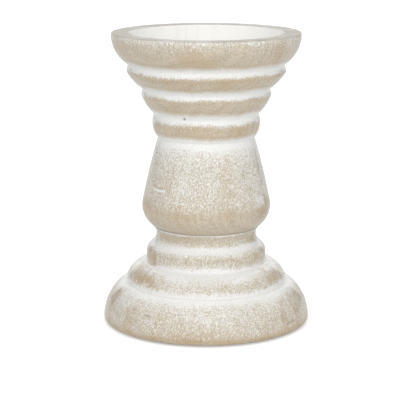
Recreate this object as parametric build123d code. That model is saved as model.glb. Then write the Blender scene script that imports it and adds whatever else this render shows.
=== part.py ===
from build123d import *

import os
from math import acos, atan2, cos, sin, sqrt

# A turned wooden pillar-candle holder. Sizes are in millimetres. The turning axis is Z,
# and z = 0 is the surface that the felt pads stand on.

# ---- overall ----
total_height = 152.4
foot_radius = 54.2

# ---- candle and cup ----
candle_diameter = 76.2          # a 3 in pillar candle
candle_clearance = 1.75         # free space all round the candle
recess_depth = 12.0
recess_edge_round = 0.8
rim_wall = 9.15                 # width of the rim, from the recess to the outside
rim_edge_round = 0.7
bowl_height = 16.5              # from the top groove to the rim
bowl_swell = 2.4                # how far the bowl's side bows out from a straight line

upper_ring_height = 12.5
upper_ring_radius = 41.2
upper_ring_crest = 9.0          # height of the widest point above the ring's own base
middle_ring_height = 13.0
middle_ring_radius = 33.7
middle_ring_crest = 10.1
lower_ring_height = 12.2
lower_ring_radius = 28.05
lower_ring_crest = 8.1
ring_underside_swell = 0.8      # bow of each ring below its crest
ring_shoulder_swell = 0.3       # bow of each ring above its crest
groove_depth = 1.1              # how far each groove cuts in behind the crest below it

# ---- stem ----
stem_top_radius = 25.2
belly_radius = 33.65            # widest point of the vase
belly_place = 0.235             # height of the widest point, as a share of the stem's height
taper_swell = 0.35              # bow of the long taper

# ---- foot ----
neck_seam_radius = 27.8         # top of the neck, where the stem stands on it
seam_step = 0.4                 # how far the neck's edge shows beyond the stem's base
neck_radius = 26.1              # narrowest point of the neck
neck_cove_above = 4.3           # from the narrowest point up to the seam
neck_cove_below = 5.2           # from the narrowest point down to the bead
bead_radius = 31.4
bead_wall_height = 4.3
bead_shoulder_height = 5.0
bead_shoulder_inset = 2.2       # how far the bead's shoulder falls back before the neck's cove
bead_shoulder_swell = 0.7
ring_radius = 41.8              # the quarter-round ring on top of the dome
ring_wall_height = 3.0
ring_round_height = 8.1
ring_round_swell = 1.8
quirk_width = 2.0               # small groove cut between the dome and the ring
quirk_depth = 0.7
dome_height = 19.5
dome_swell = 2.7
foot_edge_round = 1.6
underside_recess_depth = 2.5
underside_recess_round = 1.0

# ---- dowels ----
dowel_radius = 8.0
dowel_clearance = 0.05          # glue film all round each dowel
dowel_end_gap = 1.5             # room for glue above each dowel, in its upper hole
dowel_chamfer = 1.2
dowel_depth = 20.0              # depth of the dowel holes in the cup and in the foot
wood_between_dowels = 8.0       # solid wood left in the middle of the stem
flute_count = 12
flute_radius = 0.5

# ---- felt pads ----
pad_count = 4
pad_radius = 6.0
pad_thickness = 1.0
pad_margin = 2.6                # bare wood left on both sides of a pad

# ---- derived sizes ----
recess_radius = candle_diameter / 2 + candle_clearance
rim_radius = recess_radius + rim_wall
recess_floor = total_height - recess_depth

cup_height = lower_ring_height + middle_ring_height + upper_ring_height + bowl_height
cup_base = total_height - cup_height

foot_base = pad_thickness
dome_base = foot_base + foot_edge_round
quirk_top = dome_base + dome_height
ring_base = quirk_top - quirk_depth
bead_base = ring_base + ring_wall_height + ring_round_height
shoulder_base = bead_base + bead_wall_height
cove_base = shoulder_base + bead_shoulder_height
stem_base = cove_base + neck_cove_below + neck_cove_above
stem_height = cup_base - stem_base

belly_rise = stem_height * belly_place
stem_base_radius = neck_seam_radius - seam_step
# The belly's underside is at most a quarter circle, so on a short stem it starts further out.
belly_start_radius = max(stem_base_radius, belly_radius - belly_rise)
belly_overhang = belly_radius - belly_start_radius
belly_arc_radius = (belly_overhang**2 + belly_rise**2) / (2 * belly_overhang)

pad_circle_radius = foot_radius - foot_edge_round - pad_margin - pad_radius
underside_recess_radius = pad_circle_radius - pad_radius - pad_margin

dowel_hole_radius = dowel_radius + dowel_clearance
dowel_depth_in_stem = (stem_height - wood_between_dowels) / 2
upper_hole_bottom = cup_base - dowel_depth_in_stem
upper_hole_top = cup_base + dowel_depth
lower_hole_bottom = stem_base - dowel_depth
lower_hole_top = stem_base + dowel_depth_in_stem

QUARTER_ROUND = 1 - sqrt(0.5)   # bow of a quarter circle, as a share of its radius


def outline(*points):
    """Lines and arcs through the points, which run anticlockwise round the wood.

    Each point is (radius, height) or (radius, height, swell). The swell bows the line that leads
    to the point outward by that much, or inward if it is negative.
    """
    edges = []
    for start, end in zip(points, points[1:]):
        swell = end[2] if len(end) == 3 else 0
        if swell:
            edges.append(SagittaArc(start[:2], end[:2], -swell))
        else:
            edges.append(Line(start[:2], end[:2]))
    return edges


def turned(edges):
    """Spin a closed outline, drawn as radius against height, about the turning axis."""
    return revolve(Plane.XZ * make_face(edges), Axis.Z)


def rod(radius, bottom, top):
    """A plain cylinder on the turning axis."""
    return Pos(0, 0, bottom) * Cylinder(
        radius, top - bottom, align=(Align.CENTER, Align.CENTER, Align.MIN)
    )


def cup_ring(base, height, radius, crest):
    """Outline points of one ring of the cup: its crest, and the groove above it."""
    return [
        (radius, base + crest, ring_underside_swell),
        (radius - groove_depth, base + height, ring_shoulder_swell),
    ]


def make_cup():
    """The bowl with its candle recess, and the three rings below it."""
    middle_base = cup_base + lower_ring_height
    upper_base = middle_base + middle_ring_height
    wood = turned(
        outline(
            (0, recess_floor),
            (0, cup_base),
            (stem_top_radius, cup_base),
            *cup_ring(cup_base, lower_ring_height, lower_ring_radius, lower_ring_crest),
            *cup_ring(middle_base, middle_ring_height, middle_ring_radius, middle_ring_crest),
            *cup_ring(upper_base, upper_ring_height, upper_ring_radius, upper_ring_crest),
            (rim_radius, total_height - rim_edge_round, bowl_swell),
            (rim_radius - rim_edge_round, total_height, rim_edge_round * QUARTER_ROUND),
            (recess_radius + recess_edge_round, total_height),
            (recess_radius, total_height - recess_edge_round, recess_edge_round * QUARTER_ROUND),
            (recess_radius, recess_floor),
            (0, recess_floor),
        )
    )
    return wood - rod(dowel_hole_radius, cup_base, upper_hole_top)


def make_stem():
    """The vase: a round belly that runs into a long taper, with a dowel hole in each end."""
    belly_centre = Vector(belly_radius - belly_arc_radius, stem_base + belly_rise)
    top_corner = Vector(stem_top_radius, cup_base)
    # The taper leaves the belly where a line from the top corner just touches its circle.
    to_corner = top_corner - belly_centre
    angle = atan2(to_corner.Y, to_corner.X) - acos(belly_arc_radius / to_corner.length)
    touch = belly_centre + Vector(cos(angle), sin(angle)) * belly_arc_radius
    side = [
        ThreePointArc((belly_start_radius, stem_base), (belly_radius, belly_centre.Y), touch),
        SagittaArc(touch, top_corner, -taper_swell),
    ]
    ends = outline(
        (stem_top_radius, cup_base), (0, cup_base), (0, stem_base), (belly_start_radius, stem_base)
    )
    wood = turned(side + ends)
    lower_hole = rod(dowel_hole_radius, stem_base, lower_hole_top)
    upper_hole = rod(dowel_hole_radius, upper_hole_bottom, cup_base)
    return wood - lower_hole - upper_hole


def make_foot():
    """The neck, the bead, the quarter-round ring and the dome, hollowed a little underneath."""
    neck_height = cove_base + neck_cove_below
    cove_edge_radius = bead_radius - bead_shoulder_inset
    cove = ThreePointArc(
        (cove_edge_radius, cove_base), (neck_radius, neck_height), (neck_seam_radius, stem_base)
    )
    recess_top = foot_base + underside_recess_depth
    recess_round = underside_recess_round
    below_cove = outline(
        (0, recess_top),
        (underside_recess_radius - recess_round, recess_top),
        (underside_recess_radius, recess_top - recess_round, -recess_round * QUARTER_ROUND),
        (underside_recess_radius, foot_base),
        (foot_radius - foot_edge_round, foot_base),
        (foot_radius, dome_base, foot_edge_round * QUARTER_ROUND),
        (ring_radius + quirk_width, quirk_top, dome_swell),
        (ring_radius, ring_base),
        (ring_radius, ring_base + ring_wall_height),
        (bead_radius, bead_base, ring_round_swell),
        (bead_radius, shoulder_base),
        (cove_edge_radius, cove_base, bead_shoulder_swell),
    )
    above_cove = outline((neck_seam_radius, stem_base), (0, stem_base), (0, recess_top))
    wood = turned(below_cove + [cove] + above_cove)
    return wood - rod(dowel_hole_radius, lower_hole_bottom, stem_base)


def make_dowel(bottom, top):
    """A fluted wooden peg with chamfered ends, which stands on the floor of its lower hole."""
    peg = rod(dowel_radius, bottom, top - dowel_end_gap)
    peg = chamfer(peg.edges().filter_by(GeomType.CIRCLE), dowel_chamfer)
    for place in PolarLocations(dowel_radius, flute_count):
        peg -= place * rod(flute_radius, bottom, top)
    return peg


def make_felt_pad(index):
    """One round self-adhesive pad on the underside of the foot."""
    turn = 360 / pad_count * (index + 0.5)
    return Rot(0, 0, turn) * Pos(pad_circle_radius, 0, 0) * rod(pad_radius, 0, pad_thickness)


def main():
    parts = {
        "cup": make_cup(),
        "stem": make_stem(),
        "foot": make_foot(),
        "upper_dowel": make_dowel(upper_hole_bottom, upper_hole_top),
        "lower_dowel": make_dowel(lower_hole_bottom, lower_hole_top),
    }
    for index in range(pad_count):
        parts[f"felt_pad_{index + 1}"] = make_felt_pad(index)

    os.makedirs("parts", exist_ok=True)
    for name, shape in parts.items():
        shape.label = name
        export_step(shape, f"parts/{name}.step")
        print(f"{name}: {shape.volume / 1000:.1f} cm3")


main()
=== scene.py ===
# %% [markdown]
# # A turned candlestick with a rubbed white wash
#
# This lesson dresses a finished design. The design says where each piece is and how large it is. Blender
# adds what a turner's and a finisher's hands add: softened edges, a little unevenness, grain, open pores,
# and white paint that was brushed on and rubbed off again. We start by loading the design, which stays as
# it is.

# %% Load the design
import math
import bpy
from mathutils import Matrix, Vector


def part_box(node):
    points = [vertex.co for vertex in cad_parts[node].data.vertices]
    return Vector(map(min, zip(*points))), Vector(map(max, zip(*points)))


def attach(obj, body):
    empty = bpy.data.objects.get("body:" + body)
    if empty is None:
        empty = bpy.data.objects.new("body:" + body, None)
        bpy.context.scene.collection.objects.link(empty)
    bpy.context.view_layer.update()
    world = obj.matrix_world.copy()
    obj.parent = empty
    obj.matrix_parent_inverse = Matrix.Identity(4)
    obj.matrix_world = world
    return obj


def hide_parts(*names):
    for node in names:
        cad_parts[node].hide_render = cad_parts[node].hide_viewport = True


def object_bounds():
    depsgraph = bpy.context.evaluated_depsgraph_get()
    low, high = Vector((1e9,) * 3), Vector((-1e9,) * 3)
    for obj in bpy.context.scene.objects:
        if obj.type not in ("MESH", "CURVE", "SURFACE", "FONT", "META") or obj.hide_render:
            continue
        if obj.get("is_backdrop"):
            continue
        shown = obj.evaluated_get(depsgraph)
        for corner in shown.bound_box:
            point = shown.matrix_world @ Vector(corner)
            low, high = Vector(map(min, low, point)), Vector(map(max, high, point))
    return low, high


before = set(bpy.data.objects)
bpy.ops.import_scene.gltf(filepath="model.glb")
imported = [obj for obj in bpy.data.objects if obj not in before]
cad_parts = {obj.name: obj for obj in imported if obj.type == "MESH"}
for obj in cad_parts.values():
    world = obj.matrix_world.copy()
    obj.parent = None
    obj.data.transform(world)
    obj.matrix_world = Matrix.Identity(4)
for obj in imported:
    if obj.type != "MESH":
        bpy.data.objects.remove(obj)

from types import SimpleNamespace

import bmesh
import bpy
import numpy as np
from mathutils import Vector

MM = 0.001
design_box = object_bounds()
print("design:", [round(float(c) / MM, 1) for corner in design_box for c in corner], "mm")

# %% [markdown]
# ## Camera
#
# A short telephoto lens, a little above the rim, keeps the rings nearly parallel and still shows the
# recess. The camera is aimed with two angles, tilt and turn, because that is how one is set on a tripod.

# %% Camera
LENS_MM = 135.6
CAMERA_DISTANCE = 0.773
CAMERA_HEIGHT = 0.2314
CAMERA_TILT = math.radians(12.21)
CAMERA_TURN = math.radians(0.24)

camera = bpy.data.objects.new("camera", bpy.data.cameras.new("camera"))
bpy.context.scene.collection.objects.link(camera)
camera.data.lens = LENS_MM
camera.data.sensor_width = 36.0
camera.location = (0.0, -CAMERA_DISTANCE, CAMERA_HEIGHT)
camera.rotation_euler = (math.pi / 2 - CAMERA_TILT, 0.0, CAMERA_TURN)
bpy.context.scene.camera = camera
print("camera", round(CAMERA_DISTANCE, 3), "m away with a", LENS_MM, "mm lens")

# %% [markdown]
# ## Joining shader nodes
#
# A shader is a chain of small nodes. Adding each by hand in the editor is a good way to learn them, but
# long chains are easier to read as text. A few helpers add a node, fill its inputs with numbers or with the
# outputs of other nodes, and hand back its output, so that a chain reads like a formula.

# %% Node helpers
def link_input(tree, socket, value):
    """Connects a socket to another node's output, or sets it to a constant."""
    if isinstance(value, bpy.types.NodeSocket):
        tree.links.new(value, socket)
    else:
        socket.default_value = value


def add(tree, kind, output=0, /, **values):
    """Adds a shader node, fills its inputs and settings by name, and returns one of its outputs."""
    made = tree.nodes.new("ShaderNode" + kind)
    inputs = {}
    for name, value in values.items():
        if name in made.bl_rna.properties and not isinstance(value, bpy.types.NodeSocket):
            setattr(made, name, value)
        else:
            inputs[name.replace("_", " ")] = value
    for name, value in inputs.items():
        link_input(tree, made.inputs[name], value)
    return made.outputs[output]


def math_node(tree, operation, first, second=0.0, third=0.0, clamp=False):
    """One arithmetic step on numbers."""
    made = tree.nodes.new("ShaderNodeMath")
    made.operation = operation
    made.use_clamp = clamp
    for socket, value in zip(made.inputs, (first, second, third)):
        link_input(tree, socket, value)
    return made.outputs[0]


def vector_node(tree, operation, first, second):
    """One arithmetic step on vectors."""
    made = tree.nodes.new("ShaderNodeVectorMath")
    made.operation = operation
    link_input(tree, made.inputs[0], first)
    link_input(tree, made.inputs[1], second)
    return made.outputs[0]


def smooth_step(tree, value, low, high):
    """0 below low, 1 above high, and a soft change between them."""
    made = tree.nodes.new("ShaderNodeMapRange")
    made.interpolation_type = "SMOOTHSTEP"
    for name, v in (("Value", value), ("From Min", low), ("From Max", high)):
        link_input(tree, made.inputs[name], v)
    return made.outputs["Result"]


def mix_colours(tree, share, first, second, blend="MIX"):
    """A blend of two colours: all first at share 0, all second at share 1."""
    made = tree.nodes.new("ShaderNodeMix")
    made.data_type = "RGBA"
    made.blend_type = blend
    named = {socket.identifier: socket for socket in made.inputs}
    for name, value in (("Factor_Float", share), ("A_Color", first), ("B_Color", second)):
        link_input(tree, named[name], value)
    return next(socket for socket in made.outputs if socket.identifier == "Result_Color")


print("node helpers ready")

# %% [markdown]
# ## Light
#
# Pale wood shows best when it is lit from nearly all round, so that nothing is lost in shadow. The world is
# that light: white in front and behind, and dimmer at the left and right, which shows that the piece is
# round. Between the side walls and the backdrop there is a narrow dark gap. A satin surface reflects it as
# a thin dark line just inside its outline, and the bright backdrop beyond it as a light edge. Rays that go
# straight to the camera see a plain backdrop instead.

# %% World
FRONT_LIGHT, SIDE_LIGHT, BACK_LIGHT, SKY_LIGHT = 0.65, 0.27, 1.00, 0.56
SIDE_FROM, SIDE_SOFTNESS = math.radians(68), math.radians(28)
GAP_FROM, GAP_TO, GAP_SOFTNESS = math.radians(137), math.radians(149), math.radians(3)
BACKDROP = 0.985


def build_world():
    """White light from nearly all round, and a plain backdrop for the camera."""
    world = bpy.data.worlds.new("studio")
    world.use_nodes = True
    tree = world.node_tree
    tree.nodes.clear()
    direction = add(tree, "TexCoord", "Generated")
    parts = tree.nodes.new("ShaderNodeSeparateXYZ")
    tree.links.new(direction, parts.inputs[0])
    sideways = math_node(tree, "ABSOLUTE", parts.outputs["X"])
    towards_camera = math_node(tree, "MULTIPLY", parts.outputs["Y"], -1.0)
    round_angle = math_node(tree, "ARCTAN2", sideways, towards_camera)
    strength = FRONT_LIGHT
    changes = [(SIDE_FROM, SIDE_SOFTNESS, SIDE_LIGHT - FRONT_LIGHT), (GAP_FROM, GAP_SOFTNESS, -SIDE_LIGHT),
               (GAP_TO, GAP_SOFTNESS, BACK_LIGHT)]
    for start, softness, change in changes:
        beyond = smooth_step(tree, round_angle, start - softness, start + softness)
        strength = math_node(tree, "MULTIPLY_ADD", beyond, change, strength)
    upward = math_node(tree, "MAXIMUM", parts.outputs["Z"], 0.0)
    strength = math_node(tree, "MULTIPLY_ADD", upward, SKY_LIGHT, strength)
    seen = add(tree, "LightPath", "Is Camera Ray")
    lit = add(tree, "Background", Color=(1.0, 1.0, 1.0, 1.0), Strength=strength)
    plain = add(tree, "Background", Color=(BACKDROP, BACKDROP, BACKDROP, 1.0), Strength=1.0)
    mixed = tree.nodes.new("ShaderNodeMixShader")
    tree.links.new(seen, mixed.inputs[0])
    tree.links.new(lit, mixed.inputs[1])
    tree.links.new(plain, mixed.inputs[2])
    out = tree.nodes.new("ShaderNodeOutputWorld")
    tree.links.new(mixed.outputs[0], out.inputs["Surface"])
    bpy.context.scene.world = world


build_world()
bpy.context.scene.view_settings.view_transform = "Standard"
bpy.context.scene.cycles.use_denoising = True
bpy.context.scene.cycles.denoising_prefilter = "NONE"
print("world built")

# %% [markdown]
# ## Floor
#
# The floor is a wide white sweep of paper. It only has to catch a soft shadow, so that the candlestick
# stands on something. It is a disc of several metres, so that a low camera still sees paper as far as the
# backdrop. To the camera the paper glows a little, so that it is as pale as the backdrop, as an overexposed
# studio floor is. The glow lights nothing, or it would wash out the undersides of the rings. From
# underneath the paper is clear, so that the pads and the hollow under the foot can be looked at.

# %% Floor
FLOOR_RADIUS = 9.0
FLOOR_PAPER = 0.80
FLOOR_GLOW = 0.40


def build_floor():
    """A disc of white paper that is clear from underneath."""
    sheet = bmesh.new()
    bmesh.ops.create_circle(sheet, cap_ends=True, radius=FLOOR_RADIUS, segments=96)
    data = bpy.data.meshes.new("floor")
    sheet.to_mesh(data)
    sheet.free()
    floor = bpy.data.objects.new("floor", data)
    bpy.context.scene.collection.objects.link(floor)
    paper = bpy.data.materials.new("paper")
    paper.use_nodes = True
    tree = paper.node_tree
    shader = tree.nodes["Principled BSDF"]
    shader.inputs["Base Color"].default_value = (FLOOR_PAPER, FLOOR_PAPER, FLOOR_PAPER, 1.0)
    shader.inputs["Roughness"].default_value = 1.0
    shader.inputs["Specular IOR Level"].default_value = 0.0
    shader.inputs["Emission Color"].default_value = (1.0, 1.0, 1.0, 1.0)
    to_camera = add(tree, "LightPath", "Is Camera Ray")
    tree.links.new(math_node(tree, "MULTIPLY", to_camera, FLOOR_GLOW), shader.inputs["Emission Strength"])
    clear = tree.nodes.new("ShaderNodeBsdfTransparent")
    sides = tree.nodes.new("ShaderNodeMixShader")
    tree.links.new(add(tree, "NewGeometry", "Backfacing"), sides.inputs[0])
    tree.links.new(shader.outputs[0], sides.inputs[1])
    tree.links.new(clear.outputs[0], sides.inputs[2])
    tree.links.new(sides.outputs[0], tree.nodes["Material Output"].inputs["Surface"])
    data.materials.append(paper)
    floor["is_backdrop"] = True
    return floor


floor = build_floor()
print("floor", 2 * FLOOR_RADIUS, "m across")

# %% [markdown]
# ## Key and fill
#
# Two large soft boxes stand on both sides of the camera, the key higher on the left and the fill lower on
# the right. Light from the front falls off towards the sides of a round piece, so it shows the roundness
# without a dark side. Both boxes are wide compared with the candlestick, so that no hard shadow appears,
# and they are hidden from reflections, which keeps two bright windows off the satin surface.

# %% Soft boxes
KEY = {"place": (-0.45, -1.15, 0.80), "width": 0.9, "power": 4.4}
FILL = {"place": (0.55, -1.15, 0.35), "width": 0.9, "power": 3.8}


def soft_box(name, place, width, power):
    """A large square lamp, aimed at the middle of the candlestick and hidden from reflections."""
    lamp = bpy.data.lights.new(name, "AREA")
    lamp.size = width
    lamp.energy = power
    box = bpy.data.objects.new(name, lamp)
    box.location = place
    box.visible_glossy = False
    middle = (design_box[0] + design_box[1]) / 2
    box.rotation_euler = (middle - Vector(place)).to_track_quat("-Z", "Y").to_euler()
    bpy.context.scene.collection.objects.link(box)


soft_box("key", **KEY)
soft_box("fill", **FILL)
print("two soft boxes of", KEY["width"], "m")

# %% [markdown]
# ## Outlines
#
# The cup, the stem and the foot were turned on a lathe, so each is one outline spun about its axis. The
# design's own mesh is too coarse for close work, and its edges are sharp. Instead of modelling the pieces
# again, we cut the design's mesh through the axis and read its outline, so the sizes stay those of the
# design.

# %% Read an outline
WELD = 1e-6  # metres: points closer than this are one


def read_outline(node):
    """Half the section of a turned piece in mm, as radius and height, from the bottom pole to the top one."""
    shape = bmesh.new()
    shape.from_mesh(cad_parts[node].data)
    bmesh.ops.remove_doubles(shape, verts=shape.verts, dist=WELD)
    for normal, keep_front in (((0, 1, 0), False), ((1, 0, 0), True)):
        everything = shape.verts[:] + shape.edges[:] + shape.faces[:]
        bmesh.ops.bisect_plane(shape, geom=everything, plane_co=(0, 0, 0), plane_no=normal,
                               clear_inner=True, clear_outer=not keep_front)
    bmesh.ops.remove_doubles(shape, verts=shape.verts, dist=WELD)
    ends = [vertex for vertex in shape.verts if len(vertex.link_edges) == 1]
    here, came_by = min(ends, key=lambda vertex: vertex.co.z), None
    outline = [(0.0, here.co.z)]
    while came_by is None or len(here.link_edges) == 2:
        came_by = next(edge for edge in here.link_edges if edge is not came_by)
        here = came_by.other_vert(here)
        outline.append((here.co.x, here.co.z))
    outline[-1] = (0.0, here.co.z)
    shape.free()
    return np.array(outline) / MM


low_joint, high_joint = (float(corner.z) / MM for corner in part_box("stem"))
JOINTS = {"cup": (high_joint,), "stem": (low_joint, high_joint), "foot": (low_joint,)}
cut_outlines = {node: read_outline(node) for node in JOINTS}
print("glued joints at", round(low_joint, 1), "and", round(high_joint, 1), "mm")

# %% [markdown]
# ### Sanding
#
# A Bevel modifier could soften the edges, but it gives every edge the same width. Sanding wears a sharp
# edge more than a blunt one. So the outline is blurred along its own length by a third of a millimetre.
# Where it bends inwards it is blurred almost three times as far, because paint and filler collect in a
# crease. At the glued joints the outline keeps its sharp corners, so that the pieces still meet.

# %% Sand an outline
FINE_STEP = 0.05
SANDING, FILLING = 0.34, 0.95
JOINT_KEPT = 0.5


def along(outline):
    """How far each point lies along the outline."""
    return np.r_[0.0, np.cumsum(np.hypot(*np.diff(outline, axis=0).T))]


def evenly(outline, places, wanted):
    """The outline at the wanted places, where places says how far along each of its points lies."""
    return np.stack([np.interp(wanted, places, column) for column in outline.T], axis=1)


def near(value, middle, width):
    """1 at the middle, and soon 0 beyond the width."""
    return np.exp(-0.5 * ((value - middle) / width) ** 2)


def blurred(points, blur):
    """Points a fine step apart, each moved to the weighted middle of its neighbours."""
    reach = int(4 * blur / FINE_STEP)
    weight = near(np.arange(-reach, reach + 1) * FINE_STEP, 0.0, blur)
    weight /= weight.sum()
    mirror = np.array([-1.0, 1.0])
    padded = np.concatenate([points[reach:0:-1] * mirror, points, points[-2:-reach - 2:-1] * mirror])
    return np.stack([np.convolve(column, weight, "valid") for column in padded.T], axis=1)


def surface_normals(outline):
    """The direction out of the wood at each point, as a radius and a height part."""
    run = np.gradient(outline, axis=0)
    run /= np.hypot(*run.T)[:, None]
    return np.stack([run[:, 1], -run[:, 0]], axis=1)


def sand(outline, joints):
    """The outline with soft edges and filled creases, at points a fine step apart."""
    length = along(outline)
    steps = np.linspace(0.0, length[-1], int(length[-1] / FINE_STEP) + 1)
    points = evenly(outline, length, steps)
    sanded = blurred(points, SANDING)
    normals = surface_normals(sanded)
    filling = np.sum((blurred(points, FILLING) - sanded) * normals, axis=1)
    sanded += normals * np.maximum(filling, 0.0)[:, None]
    for joint in joints:
        sanded += near(points[:, 1:], joint, JOINT_KEPT) * (points - sanded)
    return sanded


sanded_outlines = {node: sand(cut_outlines[node], joints) for node, joints in JOINTS.items()}
print({node: len(outline) for node, outline in sanded_outlines.items()}, "points")

# %% [markdown]
# ### Points where they are needed
#
# A point every twentieth of a millimetre would make a mesh of millions of faces. The outer surfaces keep a
# point about every half millimetre, which the paint needs, and the glued joints keep four times as many.
# Near the axis the surfaces are flat or hidden, so the points stand three times as far apart.

# %% Thin out an outline
CLOSE_STEP, WIDE_STEP = 0.46, 1.5
CLOSE_FROM = 24.0
JOINT_DETAIL = 0.4


def thin_out(outline, joints):
    """Fewer points: close together on the outer surfaces and at joints, and wide apart near the axis."""
    share = np.clip((outline[:, 0] - CLOSE_FROM) / 2.0, 0.0, 1.0)
    spacing = WIDE_STEP + (CLOSE_STEP - WIDE_STEP) * share
    for joint in joints:
        at_joint = near(outline[:, 1], joint, JOINT_DETAIL) * (outline[:, 0] > CLOSE_FROM)
        spacing = np.minimum(spacing, CLOSE_STEP / (1.0 + 3.0 * at_joint) + WIDE_STEP * (1.0 - at_joint))
    count = np.r_[0.0, np.cumsum(np.hypot(*np.diff(outline, axis=0).T) / spacing[1:])]
    return evenly(outline, count, np.linspace(0.0, count[-1], int(round(count[-1])) + 1))


outlines = {node: thin_out(sanded_outlines[node], joints) for node, joints in JOINTS.items()}
for node, outline in outlines.items():
    print(node, len(outline), "points, widest", round(outline[:, 0].max(), 2), "mm")

# %% [markdown]
# ## Uneven by hand
#
# No turned piece is perfectly round, and no edge stays perfect. Smooth noise gives both. It is made here
# from a block of random numbers that is read with soft blending in between, always from the same seed, so
# the piece comes out the same every time.

# %% Smooth noise
LATTICE = 32


def lumps(points, size, seed):
    """Smooth noise from -1 to 1 at points in mm. Its lumps are about size across."""
    lattice = np.random.default_rng(seed).uniform(-1.0, 1.0, (LATTICE,) * 3)
    place = points / np.array(size)
    cell = np.floor(place).astype(int)
    part = place - cell
    part = part * part * (3.0 - 2.0 * part)
    total = np.zeros(len(points))
    for corner in np.ndindex(2, 2, 2):
        weight = np.prod(np.where(np.array(corner) == 1, part, 1.0 - part), axis=1)
        x, y, z = ((cell + corner) % LATTICE).T
        total += weight * lattice[x, y, z]
    return total


def soft(value, low, high):
    """0 below low, 1 above high, and a soft change between them. With low above high it falls instead."""
    share = np.clip((value - low) / (high - low), 0.0, 1.0)
    return share * share * (3.0 - 2.0 * share)


print("noise on a block of", LATTICE, "cells a side")

# %% [markdown]
# ## Where the paint stays
#
# The finish is a thin white paint, brushed over the whole piece and then wiped. The cloth cannot reach into
# the grooves, so they stay white, and the white breaks up into flecks where the surface swells out below
# them. It could be painted by hand in texture paint. Here it is described as a finisher would say it: how
# much paint is left at which height, and where a patch was rubbed harder. The creases are found on the
# outline, where it bends inwards sharply, so the white always sits in the real grooves.

# %% Creases
CREASE_BEND = 0.22
CLEAR_OF_ENDS = 5.0
APART = 2.5


def creases(outline):
    """Heights at which the outer side bends inwards most sharply, from the lowest up."""
    highest = np.argmax(outline[:, 1] > outline[:, 1].max() - 0.05)
    side = outline[np.argmax(outline[:, 0] > CLOSE_FROM):highest + 1]
    run = np.diff(side, axis=0)
    heading = np.unwrap(np.arctan2(run[:, 1], run[:, 0]))
    bend = -np.diff(heading) / np.hypot(*run[1:].T)
    peak = (bend[1:-1] > CREASE_BEND) & (bend[1:-1] >= bend[:-2]) & (bend[1:-1] > bend[2:])
    height = side[2:-2, 1][peak]
    height = height[(height > side[:, 1].min() + CLEAR_OF_ENDS) & (height < side[:, 1].max() - CLEAR_OF_ENDS)]
    bunches = np.split(height, np.flatnonzero(np.diff(height) > APART) + 1)
    return np.array([bunch.mean() for bunch in bunches if len(bunch)])


for node, outline in outlines.items():
    print(node, "creases at", creases(outline).round(1), "mm")

# %% [markdown]
# ### Paint plans
#
# The paint plan of a piece is a list of heights, each with the share of the surface that is still white
# there: 1 is solid white and 0 is bare wood. Between two heights the share changes evenly. The heights are
# counted from the rim, the creases and the seams. In the cup's creases, and at both ends of the stem, the
# paint was brushed out softly. Everywhere else it breaks up into flecks.

# %% Paint plans
top = float(design_box[1].z) / MM
seat = outlines["cup"][-1, 1]
cup_creases = creases(outlines["cup"])
quirk, bead_base = creases(outlines["foot"])[:2]
neck_seam = outlines["foot"][:, 1].max()
cup_seam = outlines["cup"][outlines["cup"][:, 0] > CLOSE_FROM, 1].min()


def round_crease(crease, bare, spread):
    """White in a crease, brushed out softly above it and rubbed to flecks on the shoulder below it."""
    return [(crease - 4.6 * spread, bare), (crease - 3.0 * spread, 0.28), (crease - 1.7 * spread, 0.70),
            (crease - 0.8 * spread, 1.0), (crease + 0.6, 1.0), (crease + 1.6, 0.74), (crease + 2.8, 0.46),
            (crease + 4.6, bare + 0.04)]


def plan_from(start, *steps):
    """Steps of a plan, each counted from one height."""
    return [(start + rise, share) for rise, share in steps]


cup_plan = plan_from(cup_seam, (0.0, 1.0), (0.8, 0.95), (2.4, 0.45), (4.6, 0.06))
for crease, bare, spread in zip(cup_creases, (0.04, 0.0, 0.0), (1.35, 0.95, 1.0)):
    cup_plan += round_crease(crease, bare, spread)
cup_plan += plan_from(top, (-10.0, 0.08), (-7.0, 0.24), (-3.2, 0.36), (-1.4, 0.48), (-0.5, 0.55))

stem_plan = plan_from(neck_seam, (0.0, 0.25), (2.5, 0.0), (9.0, 0.04), (11.3, 0.18), (13.5, 0.38),
                      (18.0, 0.46))
stem_plan += plan_from(cup_seam, (-20.0, 0.49), (-12.0, 0.49), (-6.4, 0.58), (-3.6, 0.67), (-1.6, 0.92),
                       (0.0, 1.0))

foot_plan = plan_from(0.0, (1.0, 0.0), (2.4, 0.05), (4.5, 0.37), (8.0, 0.42), (12.5, 0.44), (15.0, 0.48),
                      (18.5, 0.56))
foot_plan += plan_from(quirk, (-1.0, 0.78), (-0.2, 0.92), (0.9, 0.80), (3.1, 0.50), (5.3, 0.48), (7.3, 0.58))
foot_plan += plan_from(bead_base, (-2.3, 0.70), (-1.0, 0.86), (-0.2, 0.94), (0.8, 0.82), (2.2, 0.60),
                       (4.0, 0.44), (6.6, 0.37), (8.6, 0.58), (9.8, 0.88), (11.0, 0.84), (12.6, 0.51),
                       (14.8, 0.34))
foot_plan += plan_from(neck_seam, (-1.3, 0.32), (-0.5, 0.7), (0.0, 0.9))

plans = {"cup": cup_plan, "stem": stem_plan, "foot": foot_plan}
SOFT_ABOVE = {"cup": [*cup_creases, cup_seam], "stem": [cup_seam - 1.5, neck_seam], "foot": []}


def painted(plan, height):
    """The share of white at a height, from a plan."""
    rows = np.array(sorted(plan))
    return np.interp(height, rows[:, 0], rows[:, 1])


print({node: len(plan) for node, plan in plans.items()}, "heights in the paint plans")

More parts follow.
